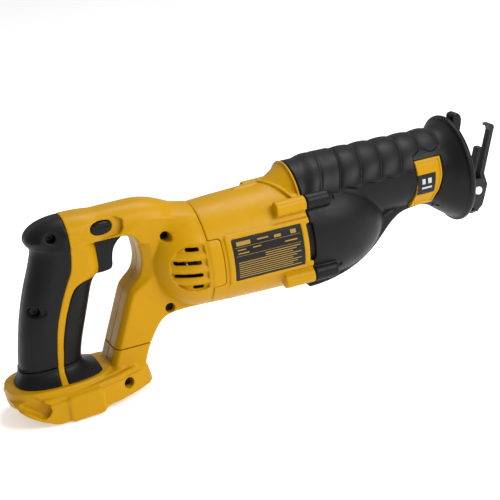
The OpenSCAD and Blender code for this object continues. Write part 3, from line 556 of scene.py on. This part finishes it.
def base_shape(s):
    """Tiered base with side pads, catch recesses and a socket, and the lower end of the strut."""
    z = s.z - BASE_RISE * (s.x + 150)
    wall = plan(s)
    bottom = BASE_BOTTOM + 1.8 * step_up((s.x + 101) / 5)
    tier = meet(wall, between(z, bottom, -80), 1.6)
    top = meet(wall + 1.8, between(z, -90, BASE_TOP), 2.4)
    body = np.minimum(tier, top)
    # the front leans back above, and its lower edge is cut off
    body = meet(body, (s.x + 53.6 + 0.26 * (s.z + 92)) * 0.968, 1.2)
    body = meet(body, (s.x + 54.5 - 1.5 * (s.z + 92)) * 0.555, 1.2)
    # the underside rises in a curve to the rear end
    body = cut(body, outline(s.x, z, soften(BASE_REAR_CURVE, 1)), 1.6)
    # crown and raised platform that the grip foot stands on
    body = join(body, meet(wall + 7, between(z, -80, BASE_TOP + 1.6), 1.4), 1.0)
    ring = oval(s.x - FOOT_X + 1.5, s.y, 42.4, 31.8)
    body = join(body, meet(ring, between(s.z, -84, FOOT_FLOOR), 1.2), 1.4)
    # lower end of the strut
    body = join(body, np.maximum(frame_shape(s), s.z - SEAM_Z + 0.35), 2.2)
    # raised pads on both sides, with soft tops, that reach below the wall
    pad = slab(s.x, -130.5, -100, z, BASE_BOTTOM - 1.2, -78, 4.5)
    pad = meet(pad, s.ay - 38.2 + 0.8 * step_up((z + 88) / 7), 3.2)
    pad = np.maximum(pad, 30 - s.ay)
    body = join(body, pad, 1.4)
    # slanting oblong catch recesses round the rear corners: u runs along the corner, v out of it
    x, y, up = s.x + 155, s.ay - 33, s.z + 79.8
    u, v = 0.94 * x + 0.34 * y, 0.94 * y - 0.34 * x
    along, across = 0.84 * u - 0.54 * up, 0.54 * u + 0.84 * up
    catch = slab(along, -13.6, 12.4, across, -5.8, 6.2, 5.0)
    body = cut(body, meet(catch, -(v + 6.2), 2.0), 0.6)
    # socket for the battery, open below
    socket = slab(s.x, -156, -82, s.ay, -40, 26, 2.0)
    body = cut(body, np.maximum(socket, s.z + 84), 0.5)
    return cut(body, screw_holes(s, BASE_SCREWS, 4.4), 0.6)


def make_base():
    s = Space((-176, -42, -100.5), (-48, 42, -54), 0.6)
    halves(s, base_shape(s), ("base_right", "base_left"), YELLOW, ("base_shell_right", "base_shell_left"))


# ---------- motor housing ----------

RAMP_START, RAMP_SLOPE = 56.0, 0.52     # cone of the hand grip that runs out on top of the housing
RAMP_EVEN = 0.887                       # turns a height over the cone into a distance
LABEL_LOW, LABEL_HIGH = (18, -17.8), (76, 16.4)         # corners of the rating label, (x, z)


def housing_radius(x):
    """Grows quickly in front of the ring seam, then less and less."""
    return TAIL_R + (FRONT_R - TAIL_R) * np.power(np.clip(x, 0.01, HOUSING_LEN) / HOUSING_LEN, 0.6)


def make_housing():
    s = Space((-2, -46, -48), (87, 46, 62), 0.65)
    rho, rho_grip = from_axis(s), from_axis(s, GRIP_Z)
    radius = housing_radius(s.x)
    barrel = rho - radius
    hollow = 0.9 * np.sin(math.pi * np.clip((s.x - 58) / 26, 0, 1))
    cone = rho_grip - (s.x - RAMP_START) * RAMP_SLOPE
    body = join(barrel, (cone - 17.5 + hollow) * RAMP_EVEN, 3.0)
    # raised edge round the foot of the ramp, an arrow in plan, and a collar where the ramp meets the boot
    edge = np.maximum((59.4 + 0.54 * s.ay - s.x) / 1.137, 34.6 - s.z)
    raised = meet(meet(barrel - 2.5, edge, 0.5), -(edge + 2.4), 0.9)
    body = join(body, meet(raised, -(barrel + 1), 0.2), 0.4)
    collar = meet(rho_grip - 33.0, between(s.x, 81.8, HOUSING_LEN), 0.7)
    body = join(body, np.maximum(collar, 30 - s.z), 0.4)
    # short ridge along the top
    ridge = np.sqrt(np.minimum(s.x - 40, 0) ** 2 + np.maximum(s.x - 62, 0) ** 2 + s.y ** 2
                    + (s.z - radius + 0.4) ** 2) - 1.7
    body = join(body, ridge, 1.2)
    for z in BOSS_ZS:
        body = join(body, rod(s.ay - BOSS_Y, s.z - z, s.x, 58.4, 100, 6.3, 1.3), 1.2)
    # raised frame round the label
    frame_side = np.maximum(slab(s.x, 13, 90, s.z, -21.5, 20, 2.5), 20 - s.ay)
    body = join(body, meet(frame_side, barrel - 1.4, 0.8), 0.5)
    (x0, z0), (x1, z1) = LABEL_LOW, LABEL_HIGH
    window = np.maximum(slab(s.x, x0 - 0.2, x1 + 0.2, s.z, z0 - 0.1, z1 + 0.1, 1.0), s.y + 20)
    body = cut(body, np.maximum(window, -barrel), 0.35)
    # notch in the front edge beside the frame
    notch = np.maximum(slab(s.x, 80.6, 95, s.z, -16.5, 15.5, 1.2), 20 - s.ay)
    body = cut(body, notch, 0.5)
    body = meet(body, between(s.x, 0.15, HOUSING_LEN - 0.15), 0.7)
    body = cut(body, tab_outline(s, 0.25), 0.4)
    wall = 3.2
    body = cut(body, join(barrel + wall, (cone - 13.5) * RAMP_EVEN, 0.5))
    draw(s, body, "motor_shell", YELLOW, ["motor_housing"])


# ---------- front boot ----------

RIB_FIRST, RIB_PITCH, RIB_COUNT, RIB_LEAN = 117.4, 18.1, 5, 0.38
BULGE_X, BULGE_R, BULGE_STRETCH = 106.0, 45.0, 1.27
NECK_R = [(80, 31), (110, 30.6), (150, 29.6), (180, 28.8), (198, 28.4), (216, 28.4), (240, 28.4)]
KEEL_OUTLINE = [(84, -20), (84, -46.6), (92, -46.8), (106, -45.2), (120, -41.6), (134, -36.6), (148, -28),
                (158, -19), (166, -11.6), (176, -5.6), (188, -4.2), (214, -4.2), (214, 10)]
# radii of the flared rim outside and inside, (x, radius)
FLARE = [(196, 18), (202, 22.5), (207, 26.8), (213, 31.6), (219, 36.2), (225, 40.6), (229, 43.3),
         (233, 44.6), (240, 44.6)]
MOUTH = [(206, 8), (210, 20), (214, 26), (222, 33.4), (228, 37.6), (234, 41.0), (240, 43)]


def rib_height(x):
    """Height of the finger ribs along the grip: round bands with a sharp crease between them."""
    n = (x - RIB_FIRST) / RIB_PITCH
    t = np.clip(n - np.floor(n), 0, 1) ** 1.1
    band = np.sin(math.pi * t) ** 0.42
    # one broad band behind the first crease
    rear = step_up((x - 84) / 10) * step_up((RIB_FIRST - x) / 2.5)
    rear = rear * (1 - 0.3 * np.exp(-((x - RIB_FIRST + RIB_PITCH) / 1.2) ** 2))
    return np.where(x < RIB_FIRST, rear, np.where(n < RIB_COUNT, band, 0))


def boot_skin(s):
    """The outside of the boot, before openings."""
    # smooth lower sleeve and neck
    neck = from_axis(s, GRIP_Z) - curve(s.x, NECK_R)
    # ribbed upper sleeve, ending on a wavy ledge
    wave = 1.1 * np.sin((s.x - RIB_FIRST) * (2 * math.pi / RIB_PITCH) - 0.6)
    ledge = 30.4 + wave * step_up((s.x - 96) / 8)
    # the last ribs end higher, beside the trim patch
    rib_end = ledge + 12.5 * step_up(np.where(s.y < 0, (s.x - 184.5) / 3, (s.x - 176) / 18))
    step = step_up((s.z - ledge + 0.5) / 1.1)
    rib = step_up((s.z - rib_end) / 2.6)
    fade = 1 - step_up((s.x - 209) / 12)
    height = rib_height(s.x - RIB_LEAN * (s.z - 30))
    sleeve = neck - fade * (1.4 * step + 2.1 * rib * height + 0.2)
    body = np.minimum(neck, sleeve * 0.93)
    # bulge round the gear case
    along = np.maximum(s.x - BULGE_X, 0) / BULGE_STRETCH
    bulge = np.sqrt(along ** 2 + s.y ** 2 + s.z ** 2) - (BULGE_R - 0.5 * step_up((96 - s.x) / 12))
    body = join(body, bulge, 1.6)
    # keel below, with a flat step on each side
    keel = outline(s.x, s.z, soften(KEEL_OUTLINE, 1))
    body = join(body, meet(keel, s.ay - 21.5 + 0.10 * np.maximum(s.x - 120, 0), 3.0), 1.2)
    for z in BOSS_ZS:
        body = join(body, rod(s.ay - BOSS_Y, s.z - z, s.x, 78, 105, 6.5, 2.6), 1.0)
    # flared rim with a rounded lip
    rho_rim = from_axis(s, RIM_Z)
    flare = (rho_rim - curve(s.x, FLARE)) * 0.78
    flare = meet(flare, between(s.x, 198, RIM_X + 0.8), 1.6)
    body = join(body, flare, 7.0)
    lip = np.sqrt((s.x - RIM_X + 2.4) ** 2 + (rho_rim - RIM_R + 2.2) ** 2) - 2.7
    body = join(body, lip, 0.5)
    crease = np.sqrt((s.x - 226.2) ** 2 + (rho_rim - 43.4) ** 2) - 1.5
    return cut(body, crease, 0.6)


def patch_outline(s, pull=0.0):
    """The trim patch on the side of the neck, seen from the side."""
    points = [(187.0, 38.2), (210.4, 38.2), (209.8, 22.6), (206.8, 9.4), (202.6, -1.6), (182.4, -1.6),
              (186.2, 11), (188, 22.6)]
    return np.maximum(outline(s.x, s.z, points) + pull, s.y + 6)


def patch_seat(s):
    """The round neck that the patch lies on."""
    return from_axis(s, GRIP_Z) - 28.5


def boot_inside(s):
    """Room for the gear case, the motor plate and the nose tube."""
    crank_x, gear_r, seat_r = 116, 33.3, 12.3
    cup = rod(s.x - crank_x, s.y, s.z, -22.3, 0, gear_r)
    box = np.maximum(rod(s.x - crank_x, s.y, s.z, -3, 30.3, gear_r), s.ay - 26.8)
    inside = np.maximum(np.minimum(cup, box), 87.7 - s.x)
    for room in (rod(s.x - crank_x, s.y, s.z, -33.3, 0, seat_r),
                 rod(s.y, s.z, s.x, 70, 88.3, 39.3),
                 rod(s.y, s.z - PLUNGER_Z, s.x, 130, 260, 15.3)):
        inside = np.minimum(inside, room)
    return inside


def make_boot():
    s = Space((76, -48, -50), (236, 48, 66), 0.6)
    rear_end = HOUSING_LEN + 0.2 - s.x
    body = meet(np.maximum(boot_skin(s), rear_end), rear_end, 1.4)
    # the dark inner collar that shows in the notch of the housing
    collar = meet(from_axis(s) - 41.2, between(s.x, 78, 92), 0.8)
    notch = np.maximum(slab(s.x, 70, 86.4, s.z, -15.5, 14.5, 1.6), 30 - s.ay)
    body = np.minimum(cut(body, notch, 0.6), collar)
    # trim patch recess, mouth of the flare, bracket opening, room inside, screw pockets
    body = cut(body, np.maximum(patch_outline(s, -0.3), -(patch_seat(s) + 1.4)), 0.3)
    mouth = np.maximum((from_axis(s, RIM_Z) - curve(s.x, MOUTH)) * 0.8, 209 - s.x)
    body = cut(body, mouth, 0.9)
    bracket = np.maximum(slab(s.x, 205.6, 270, s.z, -7.4, 9.4, 0.8), s.ay - 16.4)
    body = cut(body, bracket, 0.4)
    body = cut(body, boot_inside(s))
    for z in BOSS_ZS:
        body = cut(body, rod(s.ay - BOSS_Y, s.z - z, s.x, 99.2, 110, 3.7), 0.3)
    draw(s, body, "boot", RUBBER, ["front_boot"], smooth=1)


BADGE_LOW, BADGE_HIGH = (187.0, 8.8), (204.4, 26.6)      # corners of the badge, (x, z)
# plain marks in place of lettering: left, right, bottom and top as a share of the film
BADGE_MARKS = [(0.26, 0.42, 0.52, 0.78), (0.56, 0.74, 0.52, 0.78), (0.24, 0.76, 0.28, 0.37)]


def make_patch():
    s = Space((176, -34, -6), (214, -3, 42), 0.35)
    skin = patch_seat(s)
    # hollow face with a raised rolled edge
    rim = patch_outline(s)
    face = 1.9 - 0.9 * step_up((-rim - 1.3) / 1.3) + 1.6 * step_up((6 - s.z) / 9)
    patch = meet(meet(skin - face, -(skin + 1.3), 0.3), rim, 0.7)
    (x0, z0), (x1, z1) = BADGE_LOW, BADGE_HIGH
    inset = outline(s.x, s.z, [(x0 + 0.6, z1), (x1, z1), (x1 - 1.4, z0), (x0, z0)])
    patch = cut(patch, np.maximum(inset - 0.25, -(skin - 0.7)), 0.2)
    draw(s, patch, "trim_patch", YELLOW, ["badge_plate"], smooth=1)
    plate = meet(meet(skin - 1.15, -(skin - 0.1), 0.1), inset + 0.15, 0.35)
    film = marked_film("badge_film", BADGE_LOW, BADGE_HIGH, (0.5, 0.5, 0.5), BADGE_MARKS)
    draw(s, plate, "trim_badge", film, ["badge"], smooth=1)


# ---------- carried-over CAD nodes ----------

FINISH = {
    "shoe": OXIDE, "shoe_bracket": OXIDE, "shoe_pivot_pin": ZINC,
    # the screws take the near-black screw colour, which is painted shade for their deep holes
    "handle_screws": SCREW_PAINTED_SHADE, "base_screw": SCREW_PAINTED_SHADE, "gear_case_screws": SCREW_PAINTED_SHADE,
    "gear_case": CAST, "motor_plate": CAST, "trigger_switch": BLACK, "terminal_block": BLACK,
    "battery_contacts": BRASS, "motor_can": ZINC, "motor_magnets": CARBON, "brush_plate": BLACK,
    "brush_holders": BRASS, "carbon_brushes": CARBON, "armature_shaft": GROUND, "armature_core": LAMINATE,
    "armature_windings": COPPER, "commutator": COPPER, "motor_fan": BLACK, "motor_pinion": GROUND,
    "rear_motor_bearing": GROUND, "front_motor_bearing": GROUND, "crank_gear": GROUND,
    "crank_shaft": GROUND, "crank_pin": GROUND, "crank_bearing": GROUND, "plunger": GROUND, "yoke": GROUND,
    "plunger_bushing": BRASS, "plunger_seal": RUBBER, "blade_clamp": OXIDE, "clamp_sleeve": ZINC,
}
# width of the rounded edges, in millimetres
BEVELLED = {"shoe": 0.7, "shoe_bracket": 0.5, "shoe_pivot_pin": 0.6, "clamp_sleeve": 0.5,
            "blade_clamp": 0.4, "handle_screws": 0.3, "base_screw": 0.3, "gear_case_screws": 0.3,
            "battery_contacts": 0.15, "terminal_block": 0.5, "gear_case": 0.6}


def finish_nodes():
    """Materials and rounded edges for the nodes that are shown as they are."""
    for name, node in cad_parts.items():
        if name in FINISH:
            node.data.materials.clear()
            node.data.materials.append(FINISH[name])
        if name in BEVELLED:
            weld = node.modifiers.new("weld", "WELD")
            weld.merge_threshold = 2e-6
            bevel = node.modifiers.new("bevel", "BEVEL")
            bevel.width, bevel.segments = BEVELLED[name] * MM, 3
            bevel.limit_method, bevel.angle_limit = "ANGLE", math.radians(40)
    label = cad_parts["rating_label"].data.materials
    label.clear()
    label.append(marked_film("label_film", LABEL_LOW, LABEL_HIGH, (0.34, 0.20, 0.03), label_areas()))


def marked_film(name, low, high, ink, areas):
    """Dark film with plain bars in place of lettering. low and high are two corners of the film, (x, z);
    each area is (left, right, bottom, top) as a share of it."""
    m = material(name, (0.009, 0.0085, 0.008), 0.42, 0.0, shade=0.1, shine=0.2)
    n, link = m.node_tree.nodes, m.node_tree.links.new
    surface = n["Principled BSDF"]
    base = surface.inputs["Base Color"].links[0].from_socket
    parts = n.new("ShaderNodeSeparateXYZ")
    link(n.new("ShaderNodeTexCoord").outputs["Object"], parts.inputs[0])

    def maths(operation, a, b):
        t = n.new("ShaderNodeMath")
        t.operation = operation
        for i, v in enumerate((a, b)):
            if isinstance(v, bpy.types.NodeSocket):
                link(v, t.inputs[i])
            else:
                t.inputs[i].default_value = v
        return t.outputs[0]

    def share(axis, origin, start, end):
        start_m = origin + start * MM
        return maths("DIVIDE", maths("SUBTRACT", parts.outputs[axis], start_m), (end - start) * MM)

    x, z = share("X", ORIGIN.x, low[0], high[0]), share("Z", ORIGIN.z, low[1], high[1])
    marks = None
    for x0, x1, z0, z1 in areas:
        across = maths("MULTIPLY", maths("GREATER_THAN", x, x0), maths("LESS_THAN", x, x1))
        up = maths("MULTIPLY", maths("GREATER_THAN", z, z0), maths("LESS_THAN", z, z1))
        area = maths("MULTIPLY", across, up)
        marks = area if marks is None else maths("MAXIMUM", marks, area)
    mix = n.new("ShaderNodeMix")
    mix.data_type = "RGBA"
    colours = [i for i in mix.inputs if i.type == "RGBA"]
    link(marks, mix.inputs["Factor"])
    link(base, colours[0])
    colours[1].default_value = (*ink, 1)
    link([o for o in mix.outputs if o.type == "RGBA"][0], surface.inputs["Base Color"])
    return m


def label_areas():
    """Two thin rules, a few blocks and ten lines of differing length."""
    areas = [(0.03, 0.97, 0.80, 0.807), (0.03, 0.97, 0.60, 0.607), (0.06, 0.26, 0.84, 0.93),
             (0.36, 0.52, 0.88, 0.91), (0.74, 0.92, 0.68, 0.71), (0.06, 0.18, 0.73, 0.755),
             (0.28, 0.40, 0.73, 0.755), (0.06, 0.22, 0.65, 0.675), (0.60, 0.70, 0.84, 0.90),
             (0.84, 0.92, 0.84, 0.93)]
    for i in range(10):
        top = 0.56 - 0.053 * i
        areas.append((0.44 if i < 2 else 0.05, 0.95 - 0.06 * (i % 3), top - 0.02, top))
    return areas


# ---------- stage ----------

MIDDLE = (0.2, 0, 0.1)                  # what the lamps point at, in metres
# axes of the camera in the row frame, and the point it looks at, in the tool's frame
CAMERA_RIGHT, CAMERA_BACK = Vector((0.924, -0.358, -0.136)), Vector((-0.300, -0.897, 0.326))
CAMERA_TARGET, CAMERA_DISTANCE = Vector((40.9, -15.2, -4.3)), 1.2


def make_stage():
    """Pale floor, white surroundings, two soft lamps and the photograph's view."""
    scene = bpy.context.scene
    world = bpy.data.worlds.new("studio")
    scene.world = world
    world.use_nodes = True
    background = world.node_tree.nodes["Background"].inputs
    background["Color"].default_value = (1, 1, 1, 1)
    background["Strength"].default_value = 0.40
    bpy.ops.mesh.primitive_plane_add(size=8, location=(0, 0, CAD_BOX[0].z - 0.0005))
    floor = bpy.context.object
    floor.name = "floor"
    m = bpy.data.materials.new("pale_floor")
    m.use_nodes = True
    surface = m.node_tree.nodes["Principled BSDF"].inputs
    surface["Base Color"].default_value = (0.93, 0.93, 0.93, 1)
    surface["Roughness"].default_value = 0.9
    surface["Emission Color"].default_value = (1, 1, 1, 1)
    surface["Emission Strength"].default_value = 0.45
    floor.data.materials.append(m)

    for name, place, size, power in (("side_box", (0.95, -1.25, 1.15), (1.0, 0.8), 27),
                                     ("top_box", (0.62, 0.3, 1.5), (0.9, 0.3), 13)):
        light = bpy.data.lights.new(name, "AREA")
        light.shape, light.energy = "RECTANGLE", power
        light.size, light.size_y = size
        lamp = bpy.data.objects.new(name, light)
        lamp.location = place
        lamp.rotation_euler = (Vector(MIDDLE) - Vector(place)).to_track_quat("-Z", "Y").to_euler()
        scene.collection.objects.link(lamp)
    scene.view_settings.view_transform = "Standard"

    right = CAMERA_RIGHT.normalized()
    back = (CAMERA_BACK - right * CAMERA_BACK.dot(right)).normalized()
    up = back.cross(right)
    place = ORIGIN + CAMERA_TARGET * MM + back * CAMERA_DISTANCE
    camera = bpy.data.objects.new("camera", bpy.data.cameras.new("camera"))
    camera.matrix_world = Matrix([(right[i], up[i], back[i], place[i]) for i in range(3)] + [(0, 0, 0, 1)])
    camera.data.lens, camera.data.sensor_width = 108.0, 36.0
    scene.collection.objects.link(camera)
    scene.camera = camera


make_handle()
make_trigger()
make_lock_button()
make_lever()
make_base()
make_housing()
make_boot()
make_patch()
finish_nodes()
make_stage()
